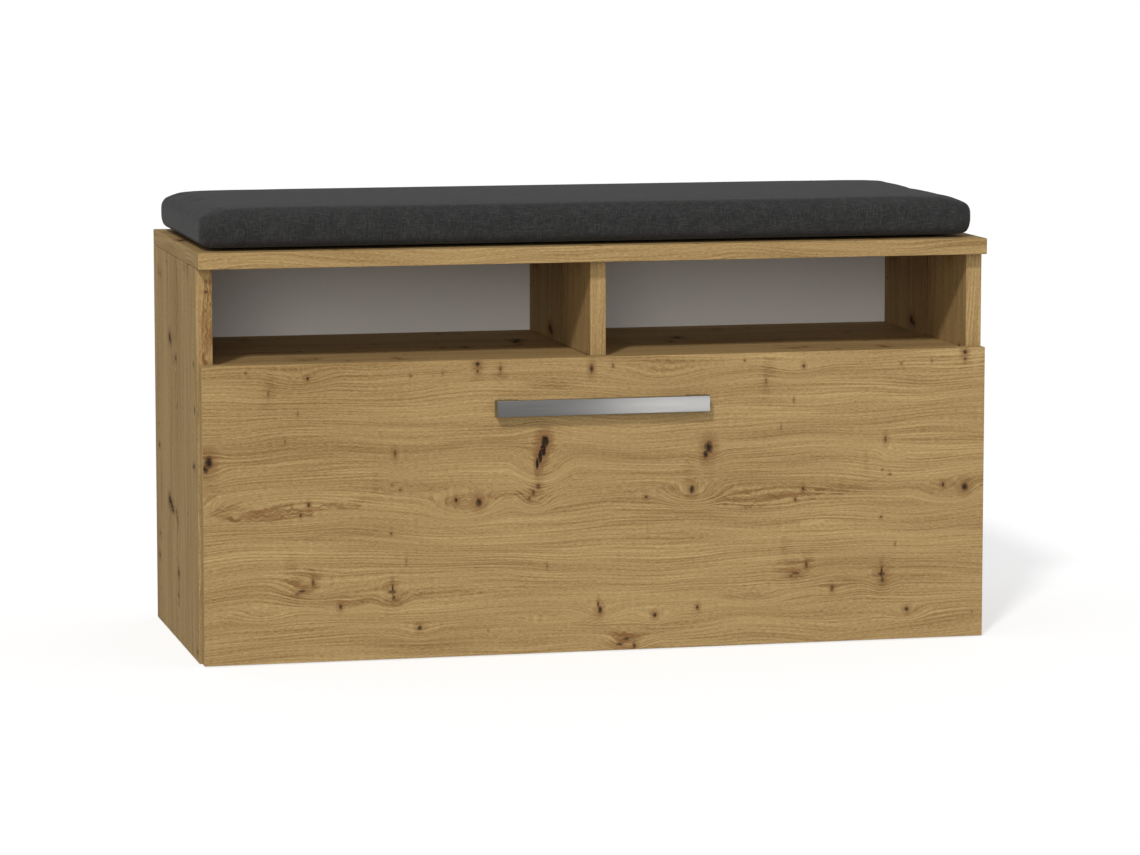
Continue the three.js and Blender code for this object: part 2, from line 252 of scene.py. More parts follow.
def linear(code):
    """An sRGB hex value as linear red, green, blue and alpha."""
    parts = [int(code[i:i + 2], 16) / 255 for i in (1, 3, 5)]
    return (*(c / 12.92 if c <= 0.04045 else ((c + 0.055) / 1.055) ** 2.4 for c in parts), 1)


def add(tree, kind, inputs=(), output=0, **settings):
    """Adds a node with its settings and its sockets' values or links; returns an output."""
    node = tree.nodes.new(kind)
    for key, value in settings.items():
        setattr(node, key, value)
    for key, value in inputs.items() if isinstance(inputs, dict) else enumerate(inputs):
        if isinstance(value, bpy.types.NodeSocket):
            tree.links.new(value, node.inputs[key])
        else:
            node.inputs[key].default_value = value
    return node.outputs[output] if node.outputs else None


def new_material(name):
    """An empty material, and its node tree."""
    material = bpy.data.materials.new(name)
    material.use_nodes = True
    material.node_tree.nodes.clear()
    return material, material.node_tree


def surface(tree, **sockets):
    """Ends a material with a Principled shader, its sockets named with _ for a space."""
    inputs = {key.replace("_", " "): value for key, value in sockets.items()}
    shader = add(tree, "ShaderNodeBsdfPrincipled", inputs)
    add(tree, "ShaderNodeOutputMaterial", {"Surface": shader})


def tinted(tree, pattern, code, darkest, lightest):
    """A colour that a pattern varies between two shares of itself."""
    base = Vector(linear(code)[:3])
    dark, light = ((*(min(1, c) for c in base * share), 1) for share in (darkest, lightest))
    return add(tree, "ShaderNodeMix", {0: pattern, 6: dark, 7: light}, output=2,
               data_type="RGBA")


# ---------------------------------------------------------------- oak decor

# The printed decor repeats along the grain, every 502 mm. Sizes are in millimetres.
REPEAT = 502
# Where the grain flows round something: place along and across the grain, half length,
# half height, how far the lines are pushed apart (0 to 1), and the rings' rise in mm.
BENDS = [
    (8, 197, 26, 24, 0.60, 3), (340, 200, 40, 44, 0.85, 11), (262, 155, 50, 26, 0.80, 11),
    (333, 158, 26, 22, 0.70, 8), (493, 161, 46, 24, 0.80, 9), (82, 150, 100, 26, 0.55, 2),
    (104, 80, 44, 28, 0.45, 3), (58, 52, 44, 16, 0.60, 5), (189, 66, 24, 24, 0.60, 3),
    (216, 30, 30, 14, 0.60, 5), (138, 56, 30, 12, 0.55, 4), (425, 10, 40, 22, 0.80, 8),
    (399, 42, 32, 16, 0.70, 6), (340, 35, 52, 10, 0.60, 5), (455, 36, 30, 12, 0.60, 5),
    (98, 285, 46, 24, 0.60, 6), (198, 192, 20, 16, 0.60, 4), (460, 280, 60, 20, 0.60, 6),
]
# Brown or reddish stain: place, half length, half height, and strength.
STAINS = [
    (48, 149, 38, 8, 1.9), (84, 151, 40, 5, 2.1), (122, 154, 36, 3, 2.2), (26, 152, 20, 10, 1.1),
    (58, 143, 34, 3, 1.0), (152, 157, 28, 4, 0.9),
    (165, 162, 26, 5, 0.45), (172, 178, 4, 20, 0.4), (338, 196, 11, 30, 1.0),
    (333, 160, 20, 14, 0.7), (305, 160, 40, 4, 0.75), (258, 155, 26, 9, 0.5),
    (490, 176, 9, 26, 0.5), (445, 161, 60, 3, 0.45), (8, 185, 12, 26, 0.45),
    (96, 76, 20, 18, 1.1), (111, 83, 9, 14, 1.0), (88, 94, 8, 22, 0.5),
    (140, 62, 42, 8, 0.5), (189, 64, 12, 20, 0.7),
    (48, 50, 34, 5, 0.55), (70, 278, 8, 18, 0.8), (66, 262, 9, 16, 0.4), (275, 285, 9, 14, 0.6),
    (298, 280, 9, 16, 0.45), (352, 268, 36, 8, 0.6), (240, 284, 30, 5, 0.3),
    (422, 12, 26, 9, 0.9), (432, 2, 34, 7, 0.8), (392, 30, 20, 8, 0.5), (216, 66, 120, 2, 0.4),
    (300, 66, 90, 2, 0.45), (100, 128, 120, 6, 0.3), (190, 258, 90, 4, 0.2),
]
# Dark hearts, cracks and pin knots: place, half length, half height, and strength.
CORES = [
    (8, 202, 5.0, 7.5, 1.1), (5, 195, 3.5, 5, 1.0), (343, 213, 4.6, 7, 1.5),
    (341, 205, 3.4, 8, 1.7), (338, 198, 2.4, 8, 1.7), (335, 191, 1.8, 7, 1.5),
    (336, 168, 3, 4, 0.7), (331, 162, 2.4, 4, 0.7), (327, 157, 1.6, 2.5, 0.7),
    (276, 154, 4.2, 5.4, 0.95), (253, 157, 2.0, 3.0, 0.9), (493, 160, 3.6, 5.4, 0.9),
    (446, 154, 2.0, 2.2, 0.8), (106, 157, 1.9, 3.2, 0.8), (98, 147, 1.6, 2.4, 0.7),
    (192, 205, 2.0, 5, 0.65), (99, 72, 5, 1.8, 0.75), (94, 69, 3, 1.6, 0.6),
    (110, 80, 1.8, 4.5, 0.75), (189, 70, 1.4, 7, 1.0), (189, 68, 5, 2.6, 0.9),
    (190, 62, 2.6, 3.4, 0.8), (137, 55, 2.2, 3.8, 0.8), (216, 31, 3.0, 3.0, 0.9),
    (399, 42, 2.8, 4.6, 0.95), (397, 48, 1.4, 4, 0.8), (455, 35, 2.6, 3.2, 0.9),
    (499, 41, 2.0, 3.2, 0.85), (426, 12, 4, 2, 0.8), (419, 7, 5, 2, 0.8), (434, 5, 2.4, 4, 0.8),
    (106, 281, 1.9, 2.3, 0.9), (45, 288, 1.3, 1.4, 0.7), (208, 281, 1.6, 1.3, 0.6),
    (275, 291, 3, 3.0, 0.9), (275, 284, 1.6, 2.4, 0.7), (298, 286, 1.5, 3.4, 0.7),
    (390, 284, 2.6, 5.5, 0.9), (412, 286, 1.4, 3, 0.6), (188, 126, 1.5, 1.8, 0.7),
    (67, 267, 1.4, 4, 0.5), (96, 247, 1.0, 3.0, 0.5), (83, 220, 1.0, 3.0, 0.45),
    (189, 174, 1.3, 1.3, 0.6), (197, 169, 1.5, 1.2, 0.7), (203, 98, 1.0, 2.6, 0.5),
    (345, 88, 1.0, 3.0, 0.5), (285, 26, 1.1, 1.3, 0.5), (240, 283, 1.2, 3.0, 0.4),
]
WOBBLE = 2.2                   # mm, how much a streak of stain snakes
LINE_SPACING = 3.4             # mm from one ruled latewood line to the next


def local_point(tree, point, feature):
    """The place round a feature, as 0 at its middle and 1 at its reach, in every repeat."""
    u, v, half_u, half_v = feature[:4]
    far = 5000
    wrapped = add(tree, "ShaderNodeVectorMath", (
        point, (u + REPEAT / 2, far, 1), (u - REPEAT / 2, -far, -1)), operation="WRAP")
    return add(tree, "ShaderNodeVectorMath", (
        wrapped, (1 / half_u, 1 / half_v, 0), (-u / half_u, -v / half_v, 0)),
        operation="MULTIPLY_ADD")


def streaks(tree, point, length, height, detail=2.0, roughness=0.5, offset=0.0):
    """Noise drawn out along the grain, from 0 to 1, sized in millimetres."""
    scaled = add(tree, "ShaderNodeVectorMath", (
        point, (1 / length, 1 / height, 0), (offset, offset * 1.7, 0)),
        operation="MULTIPLY_ADD")
    return add(tree, "ShaderNodeTexNoise", {
        "Vector": scaled, "Scale": 1.0, "Detail": detail, "Roughness": roughness},
        noise_dimensions="2D")


def bent_grain(tree, point, bends):
    """The decor's coordinates with the lines pushed round each knot, and rings inside."""
    wander = add(tree, "ShaderNodeMath", (streaks(tree, point, 190, 70, detail=1.0), 26, -13),
                 operation="MULTIPLY_ADD")
    bend = add(tree, "ShaderNodeCombineXYZ", {"Y": wander})
    for feature in bends:
        half_v, push, rings = feature[3:]
        place = local_point(tree, point, feature)
        square = add(tree, "ShaderNodeVectorMath", (place, place), output="Value",
                     operation="DOT_PRODUCT")
        dome = add(tree, "ShaderNodeMath", (square, -1, 1), operation="MULTIPLY_ADD",
                   use_clamp=True)
        dome = add(tree, "ShaderNodeMath", (dome, dome), operation="MULTIPLY")
        lifted = add(tree, "ShaderNodeVectorMath", (place, (0, -rings / (push * half_v), 0)),
                     operation="ADD")
        pull = add(tree, "ShaderNodeVectorMath", {0: lifted, "Scale": dome}, operation="SCALE")
        bend = add(tree, "ShaderNodeVectorMath", (pull, (0, -half_v * push, 0), bend),
                   operation="MULTIPLY_ADD")
    return add(tree, "ShaderNodeVectorMath", (point, bend), operation="ADD")


def marks(tree, point, features, frayed, reach=1.0):
    """The strongest of many blots at each place, their edges frayed by a noise."""
    strongest = 0.0
    for feature in features:
        place = local_point(tree, point, feature)
        square = add(tree, "ShaderNodeVectorMath", (place, place), output="Value",
                     operation="DOT_PRODUCT")
        square = add(tree, "ShaderNodeMath", (square, frayed), operation="ADD")
        blot = add(tree, "ShaderNodeMath", (square, -feature[4] / reach, feature[4]),
                   operation="MULTIPLY_ADD", use_clamp=True)
        strongest = add(tree, "ShaderNodeMath", (blot, strongest), operation="MAXIMUM")
    return strongest


def oak_group(settings, knots):
    """The printed decor as a node group: a place in millimetres in, colour and fibre out."""
    name = "knotty_oak_decor" if knots else "plain_oak_decor"
    if name in bpy.data.node_groups:
        return bpy.data.node_groups[name]
    tree = bpy.data.node_groups.new(name, "ShaderNodeTree")
    tree.interface.new_socket("Place", in_out="INPUT", socket_type="NodeSocketVector")
    tree.interface.new_socket("Color", in_out="OUTPUT", socket_type="NodeSocketColor")
    tree.interface.new_socket("Fibre", in_out="OUTPUT", socket_type="NodeSocketFloat")
    point = add(tree, "NodeGroupInput", output="Place")
    bent = bent_grain(tree, point, BENDS if knots else [])
    across = add(tree, "ShaderNodeSeparateXYZ", (bent,), output="Y")

    # ruled latewood lines, their spacing drifting, fading out in places
    phase = add(tree, "ShaderNodeMath", (streaks(tree, bent, 60, 4.5, detail=1.5), 7),
                operation="MULTIPLY")
    angle = add(tree, "ShaderNodeMath", (across, tau / LINE_SPACING, phase),
                operation="MULTIPLY_ADD")
    ruled = add(tree, "ShaderNodeMath", (angle,), operation="SINE")
    fade = add(tree, "ShaderNodeMapRange", (
        streaks(tree, point, 90, 45, detail=1.0, offset=4.4), 0.38, 0.62, 0.2, 1.0))
    ruled = add(tree, "ShaderNodeMath", (ruled, fade), operation="MULTIPLY")

    lines = streaks(tree, bent, 130, 2.0, detail=2.0, roughness=0.6)
    fibre = streaks(tree, bent, 5.0, 0.8, detail=2.0, roughness=0.6, offset=1.9)
    layers = (
        (ruled, 0.14), (lines, 0.88), (fibre, 0.95),
        (streaks(tree, bent, 260, 13, detail=2.0, offset=7.3), 0.55),
        (streaks(tree, bent, 320, 48, detail=1.0, offset=3.1), 0.45),
        (streaks(tree, point, 1.6, 1.2, detail=1.0, offset=9.1), 0.40),
    )
    # each noise has its middle at a half
    tone = 0.5 - sum(share for _, share in layers[1:]) / 2
    for layer, share in layers:
        tone = add(tree, "ShaderNodeMath", (layer, share, tone), operation="MULTIPLY_ADD")
    tone = add(tree, "ShaderNodeMath", (tone, 1), operation="MULTIPLY", use_clamp=True)
    shade = add(tree, "ShaderNodeMix", {
        0: tone, 6: linear(settings.oak_dark), 7: linear(settings.oak_light)},
        output=2, data_type="RGBA")

    tints = []
    if knots:
        snake = add(tree, "ShaderNodeMath", (
            streaks(tree, point, 9, 14, detail=1.0, offset=2.7), 4 * WOBBLE, -2 * WOBBLE),
            operation="MULTIPLY_ADD")
        snake = add(tree, "ShaderNodeCombineXYZ", {"Y": snake})
        wavy = add(tree, "ShaderNodeVectorMath", (point, snake), operation="ADD")
        frayed = add(tree, "ShaderNodeMath", (lines, 3.0, -1.5), operation="MULTIPLY_ADD")
        frayed = add(tree, "ShaderNodeMath", (ruled, 0.35, frayed), operation="MULTIPLY_ADD")
        ragged = add(tree, "ShaderNodeMath", (
            streaks(tree, point, 2.6, 3.4, roughness=0.7, offset=5.0), 0.9, -0.45),
            operation="MULTIPLY_ADD")
        # a stain soaks into the dark lines first
        soaked = add(tree, "ShaderNodeMath", (
            streaks(tree, wavy, 26, 1.5, roughness=0.6, offset=6.2), -3.2, 2.15),
            operation="MULTIPLY_ADD", use_clamp=True)
        stain = add(tree, "ShaderNodeMath", (marks(tree, wavy, STAINS, frayed), soaked),
                    operation="MULTIPLY")
        tints += [(stain, 0.95, settings.oak_red),
                  (marks(tree, point, CORES, frayed, reach=6.5), 0.62, settings.oak_red),
                  (marks(tree, point, CORES, ragged), 1.0, settings.knot)]
    pores = streaks(tree, bent, 6, 0.5, detail=1.0, offset=11.0)
    tints.append((add(tree, "ShaderNodeMapRange", (pores, 0.62, 0.82)), 0.5, settings.oak_red))
    for mask, share, code in tints:
        mask = add(tree, "ShaderNodeMath", (mask, share), operation="MULTIPLY")
        shade = add(tree, "ShaderNodeMix", {0: mask, 6: shade, 7: linear(code)}, output=2,
                    data_type="RGBA")
    add(tree, "NodeGroupOutput", {"Color": shade, "Fibre": fibre})
    return tree


def oak_decor(name, settings, along, across, shift, knots=True):
    """Melamine laminate with a printed knotty oak decor: matt, with fibres pressed into it.

    The grain runs along one direction of the board, and the shift in millimetres picks
    the part of the print that the board was cut from."""
    material, tree = new_material(name)
    place = add(tree, "ShaderNodeTexCoord", output="Object")
    parts = {}
    for key, direction, offset in (("X", along, shift[0]), ("Y", across, shift[1])):
        reach = add(tree, "ShaderNodeVectorMath", (place, Vector(direction) / MM),
                    output="Value", operation="DOT_PRODUCT")
        parts[key] = add(tree, "ShaderNodeMath", (reach, offset), operation="ADD")
    point = add(tree, "ShaderNodeCombineXYZ", parts)
    colour = add(tree, "ShaderNodeGroup", {"Place": point}, output="Color",
                 node_tree=oak_group(settings, knots))
    pressed = add(tree, "ShaderNodeBump", {
        "Height": colour.node.outputs["Fibre"], "Strength": 0.12, "Distance": 0.2 * MM})
    surface(tree, Base_Color=colour, Roughness=0.68, Specular_IOR_Level=0.1, Normal=pressed)
    return material


# ---------------------------------------------------------------- other finishes

def painted_board(name, code, roughness):
    """Melamine or painted hardboard: an even film with a faint orange peel."""
    material, tree = new_material(name)
    place = add(tree, "ShaderNodeTexCoord", output="Object")
    cloud = add(tree, "ShaderNodeTexNoise", {"Vector": place, "Scale": 9.0, "Detail": 3.0})
    peel = add(tree, "ShaderNodeTexNoise", {"Vector": place, "Scale": 1 / (1.2 * MM)})
    dimples = add(tree, "ShaderNodeBump", {
        "Height": peel, "Strength": 0.08, "Distance": 0.1 * MM})
    surface(tree, Base_Color=tinted(tree, cloud, code, 0.95, 1.03), Roughness=roughness,
            Normal=dimples)
    return material


def brushed_metal(name, code, roughness, stretch):
    """Metal brushed along one axis: long fine scratches that soften the reflection.

    The stretch is how many scratches there are in a metre along each axis."""
    material, tree = new_material(name)
    place = add(tree, "ShaderNodeTexCoord", output="Object")
    scaled = add(tree, "ShaderNodeVectorMath", (place, stretch), operation="MULTIPLY")
    scratch = add(tree, "ShaderNodeTexNoise", {"Vector": scaled, "Scale": 1.0, "Detail": 3.0,
                                               "Roughness": 0.6})
    gloss = add(tree, "ShaderNodeMapRange", (
        scratch, 0.3, 0.7, roughness - 0.06, roughness + 0.08))
    scored = add(tree, "ShaderNodeBump", {
        "Height": scratch, "Strength": 0.06, "Distance": 0.05 * MM})
    surface(tree, Base_Color=tinted(tree, scratch, code, 0.88, 1.08), Metallic=1.0,
            Roughness=gloss, Normal=scored)
    return material


def fine_grained(name, code, roughness, grain, strength):
    """Moulded, turned or coated material with an even texture, its grain in millimetres."""
    material, tree = new_material(name)
    place = add(tree, "ShaderNodeTexCoord", output="Object")
    speck = add(tree, "ShaderNodeTexNoise", {"Vector": place, "Scale": 1 / (grain * MM)})
    pitted = add(tree, "ShaderNodeBump", {
        "Height": speck, "Strength": strength, "Distance": 0.1 * MM})
    surface(tree, Base_Color=tinted(tree, speck, code, 0.9, 1.06), Roughness=roughness,
            Normal=pitted)
    return material


def melange_cloth(name, settings):
    """Plain-woven polyester of mixed dark and light yarns, matt with a soft sheen.

    Yarns are about 0.9 mm apart here, coarser than the real cloth, so that they show."""
    material, tree = new_material(name)
    place = add(tree, "ShaderNodeTexCoord", output="Object")
    thick, long = 1 / (0.9 * MM), 1 / (7 * MM)
    raised = 0.0
    for stretch in ((long, thick, thick), (thick, long, long)):
        scaled = add(tree, "ShaderNodeVectorMath", (place, stretch), operation="MULTIPLY")
        yarn = add(tree, "ShaderNodeTexNoise", {"Vector": scaled, "Scale": 1.0, "Detail": 2.0,
                                                "Roughness": 0.6})
        raised = add(tree, "ShaderNodeMath", (yarn, raised), operation="MAXIMUM")
    patchy = add(tree, "ShaderNodeTexNoise", {"Vector": place, "Scale": 1 / (12 * MM)})
    fleck = add(tree, "ShaderNodeMath", (patchy, 0.18, raised), operation="MULTIPLY_ADD")
    light = add(tree, "ShaderNodeMapRange", (fleck, 0.56, 0.84))
    colour = add(tree, "ShaderNodeMix", {
        0: light, 6: linear(settings.dark_yarn), 7: linear(settings.light_yarn)},
        output=2, data_type="RGBA")
    woven = add(tree, "ShaderNodeBump", {
        "Height": raised, "Strength": 0.45, "Distance": 0.35 * MM})
    surface(tree, Base_Color=colour, Roughness=0.95, Sheen_Weight=0.07, Sheen_Roughness=0.5,
            Specular_IOR_Level=0.1, Normal=woven)
    return material


# ---------------------------------------------------------------- operators

# the grain's direction, and the direction across it on every face beside it
ALONG_X = ((1, 0, 0), (0, 1, 1))
ALONG_Y = ((0, 1, 0), (1, 0, 1))
ALONG_Z = ((0, 0, 1), (1, 1, 0))
FRONT = [(0, -1, 0)]
ENDS = [(-1, 0, 0), (1, 0, 0)]
FLATS = [(0, 0, 1), (0, 0, -1)]

GROOVE_GAP = 0.3 * MM          # between a panel and the groove that holds it
GROOVE_RUN_OUT = 20 * MM       # how far a groove is cut on past its panel
WHITE_BOARD_EDGE = 0.5 * MM
HARDBOARD_EDGE = 0.3 * MM


def grooved(node, held, run_out):
    """A board between its corners with a groove for the panel that it holds.

    The groove is a little wider than the panel, and runs out at its ends."""
    low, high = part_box(node)
    held_low, held_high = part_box(held)
    gap = Vector((GROOVE_GAP, GROOVE_GAP, GROOVE_GAP)) + Vector(run_out)
    return carved(box_mesh(low, high), [box_mesh(held_low - gap, held_high + gap)])


def band_edges(piece, settings, looking, run, shift, knots=False):
    """Covers the edges that look along some directions with a strip of the decor.

    The strip's grain runs along the edge, as it does on a roll of edge banding."""
    nearly_straight = 0.8
    number = len(piece.data.materials)
    piece.data.materials.append(oak_decor(
        f"edge_band_{number}_{piece.name}", settings, *run, shift=shift, knots=knots))
    for polygon in piece.data.polygons:
        if any(polygon.normal.dot(Vector(way)) > nearly_straight for way in looking):
            polygon.material_index = number


class BENCH_OT_case(bpy.types.Operator):
    """Builds the case: side panels, top, shelf, bottom, divider and back"""
    bl_idname = "bench.case"
    bl_label = "Case"

    def execute(self, context):
        look = context.scene.bench_boards
        radius = look.edge_radius
        # name, node of the panel it holds, grain, and the shifts of the decor on its faces
        # and on its front edge banding
        boards = [
            ("left_side_panel", "back_panel", ALONG_Z, (206, 549), (-268, 666)),
            ("right_side_panel", "back_panel", ALONG_Z, (206, -235), (40, 900)),
            ("top_board", None, ALONG_X, (400, -219), (477, 900)),
            ("middle_shelf", None, ALONG_X, (384, -129), (120, 900)),
            ("bottom_board", None, ALONG_X, (260, 60), (330, 900)),
            ("centre_divider", None, ALONG_Z, (206, 155), (90, 900)),
        ]
        for name, held, grain, shift, band_shift in boards:
            if held:
                bm = grooved(name, held, (0, 0, GROOVE_RUN_OUT))
            else:
                bm = box_mesh(*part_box(name))
            if name == "middle_shelf":
                cams = [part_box(n) for n in sorted(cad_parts) if n.startswith("cam_lock_")]
                bm = carved(bm, [self.cam_hole(*corners) for corners in cams])
            soften(bm, radius)
            face = oak_decor(f"oak_laminate_{name}", look, *grain, shift=shift)
            piece = new_piece(f"oak_{name}", bm, "case", [face], [name])
            band_edges(piece, look, FRONT, grain, band_shift, knots=name == "left_side_panel")
            if name == "top_board":
                band_edges(piece, look, ENDS, ALONG_Y, (60, 900))

        bm = box_mesh(*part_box("back_panel"))
        soften(bm, HARDBOARD_EDGE)
        new_piece("white_back_panel", bm, "case",
                  [painted_board("painted_hardboard_back", "#DBD7D1", 0.6)], ["back_panel"])
        return {"FINISHED"}

    @staticmethod
    def cam_hole(low, high):
        """A cutter for the blind hole that a cam lock sits in, open on the underside."""
        clearance = 0.3 * MM
        overshoot = 2 * MM
        middle = (low + high) / 2
        radius = (high.x - low.x) / 2 + clearance
        start = (middle.x, middle.y, low.z - overshoot)
        depth = high.z - low.z + overshoot + clearance
        return drill_mesh(start, (0, 0, 1), depth, radius, segments=32)


class BENCH_OT_drawer(bpy.types.Operator):
    """Builds the drawer: its oak front, and the plain box behind it"""
    bl_idname = "bench.drawer"
    bl_label = "Drawer"

    def execute(self, context):
        look = context.scene.bench_boards
        bm = box_mesh(*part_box("drawer_front"))
        soften(bm, look.edge_radius)
        face = oak_decor("oak_laminate_drawer_front", look, *ALONG_X, shift=(400, 149))
        front = new_piece("oak_drawer_front", bm, "drawer", [face],
                          ["drawer_front"])
        band_edges(front, look, FLATS, ALONG_X, (471, 900))
        band_edges(front, look, ENDS, ALONG_Z, (150, 900))

        melamine = painted_board("white_melamine_drawer_box", "#DAD6CE", 0.45)
        for name in ("drawer_left_side", "drawer_right_side", "drawer_back"):
            if name == "drawer_back":
                bm = box_mesh(*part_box(name))
            else:
                bm = grooved(name, "drawer_bottom", (0, GROOVE_RUN_OUT, 0))
            soften(bm, WHITE_BOARD_EDGE)
            new_piece(f"white_{name}", bm, "drawer", [melamine], [name])
        bm = box_mesh(*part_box("drawer_bottom"))
        soften(bm, HARDBOARD_EDGE)
        new_piece("white_drawer_bottom", bm, "drawer",
                  [painted_board("painted_hardboard_drawer", "#D3CFC8", 0.6)], ["drawer_bottom"])
        return {"FINISHED"}


class BENCH_OT_handle(bpy.types.Operator):
    """Builds the flat bar handle with its two feet"""
    bl_idname = "bench.handle"
    bl_label = "Handle"

    def execute(self, context):
        look = context.scene.bench_handle
        low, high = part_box("handle")
        thickness = 4.8 * MM
        foot = 22 * MM
        bar_back = low.y + thickness
        outline = [
            (low.x, high.y), (low.x, low.y), (high.x, low.y), (high.x, high.y),
            (high.x - foot, high.y), (high.x - foot, bar_back),
            (low.x + foot, bar_back), (low.x + foot, high.y),
        ]
        bm = extruded([(x, y, low.z) for x, y in outline], (0, 0, high.z - low.z))
        soften(bm, look.edge_radius, segments=3)
        aluminium = brushed_metal("satin_aluminium", look.colour, 0.34, (25, 2500, 2500))
        smooth(new_piece("aluminium_bar_handle", bm, "drawer",
                         [aluminium], ["handle"]))
        return {"FINISHED"}


class BENCH_OT_slides(bpy.types.Operator):
    """Finishes the roller slides and turns their nylon rollers"""
    bl_idname = "bench.slides"
    bl_label = "Roller slides"

    def execute(self, context):
        coating = fine_grained("epoxy_coated_steel", "#DEDEDA", 0.42, 1.5, 0.1)
        nylon = fine_grained("moulded_nylon", "#E9E7DF", 0.4, 0.6, 0.06)
        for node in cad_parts.values():
            if "_rail_" in node.name:
                repaint(node, coating)
        for place in ("case", "drawer"):
            for side in ("left", "right"):
                self.roller(f"{place}_roller_{side}", nylon)
        return {"FINISHED"}

    @staticmethod
    def roller(node, nylon):
        """A wheel with a rounded tread and a shallow recess round its bore."""
        low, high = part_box(node)
        middle = (low + high) / 2
        radius = (high.z - low.z) / 2
        width = high.x - low.x
        bore = 2.6 * MM
        hub = 4.2 * MM
        rim = radius - 1.6 * MM
        dish = 0.8 * MM
        edge = 0.6 * MM
        profile = [
            (bore, 0), (hub, 0), (hub, dish), (rim, dish), (rim, 0), (radius - edge, 0),
            (radius, edge), (radius, width - edge), (radius - edge, width), (rim, width),
            (rim, width - dish), (hub, width - dish), (hub, width), (bore, width), (bore, 0),
        ]
        bm = turned(profile, (low.x, middle.y, middle.z), (1, 0, 0), steps=48)
        smooth(new_piece(f"nylon_{node}", bm, node, [nylon], [node]))


def repaint(node, material):
    """Gives a CAD node its finish."""
    slots = node.material_slots
    if slots:
        slots[0].link = "OBJECT"
        slots[0].material = material
    else:
        node.data.materials.append(material)


class BENCH_OT_fittings(bpy.types.Operator):
    """Finishes the screws, pins, cam locks, dowels, pads and tapes"""
    bl_idname = "bench.fittings"
    bl_label = "Fittings"

    def execute(self, context):
        zinc = brushed_metal("zinc_plated_steel", "#B4B7B9", 0.3, (900, 900, 900))
        finishes = {
            "screw": zinc, "roller_pin": zinc, "cam_lock": zinc, "cam_bolt": zinc,
            "dowel": fine_grained("turned_beech", "#C79F6A", 0.7, 0.5, 0.3),
            "bumper_pad": fine_grained("soft_polyurethane", "#D8D5CC", 0.35, 0.5, 0.1),
            "strip": fine_grained("woven_hook_and_loop_tape", "#202126", 0.95, 0.7, 0.8),
        }
        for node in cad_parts.values():
            for part, material in finishes.items():
                if part in node.name:
                    repaint(node, material)
        return {"FINISHED"}


class BENCH_OT_cushion(bpy.types.Operator):
    """Builds the seat cushion, swollen by its foam in a cloth simulation"""
    bl_idname = "bench.cushion"
    bl_label = "Seat cushion"

    def execute(self, context):
        look = context.scene.bench_cushion
        low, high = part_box("cushion_cover")
        base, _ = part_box("cushion_base_board")
        corner_radius = 16 * MM
        rim_radius = 10 * MM
        # the form starts lower than the finished cushion, because the foam lifts its top
        lift = 2.5 * MM
        drop = 0.2 * MM
        slack = Vector((1.5, -0.5, 0)) * MM
        start_low = Vector((low.x, low.y, base.z - drop)) - slack
        start_high = Vector((high.x, high.y, high.z - lift)) + slack
        bm = box_mesh(start_low, start_high)
        upright = [e for e in bm.edges if e.verts[0].co.z != e.verts[1].co.z]
        bmesh.ops.bevel(bm, geom=upright, offset=corner_radius, segments=6, profile=0.5,
                        affect="EDGES", material=-1)
        rim = [e for e in bm.edges if e.is_manifold and e.calc_face_angle(0) > radians(60)]
        bmesh.ops.bevel(bm, geom=rim, offset=rim_radius, segments=4, profile=0.5,
                        affect="EDGES", material=-1)
        cloth = melange_cloth("charcoal_melange_cloth", look)
        form = temporary("cushion_form", bm)
        swell(form, look, start_low.z)
        bm = settled_mesh(form)
        discard(form)
        piece = new_piece("seat_cushion", bm, "case", [cloth],
                          ["cushion_cover", "cushion_foam", "cushion_base_board"])
        for polygon in piece.data.polygons:
            polygon.use_smooth = True
        return {"FINISHED"}


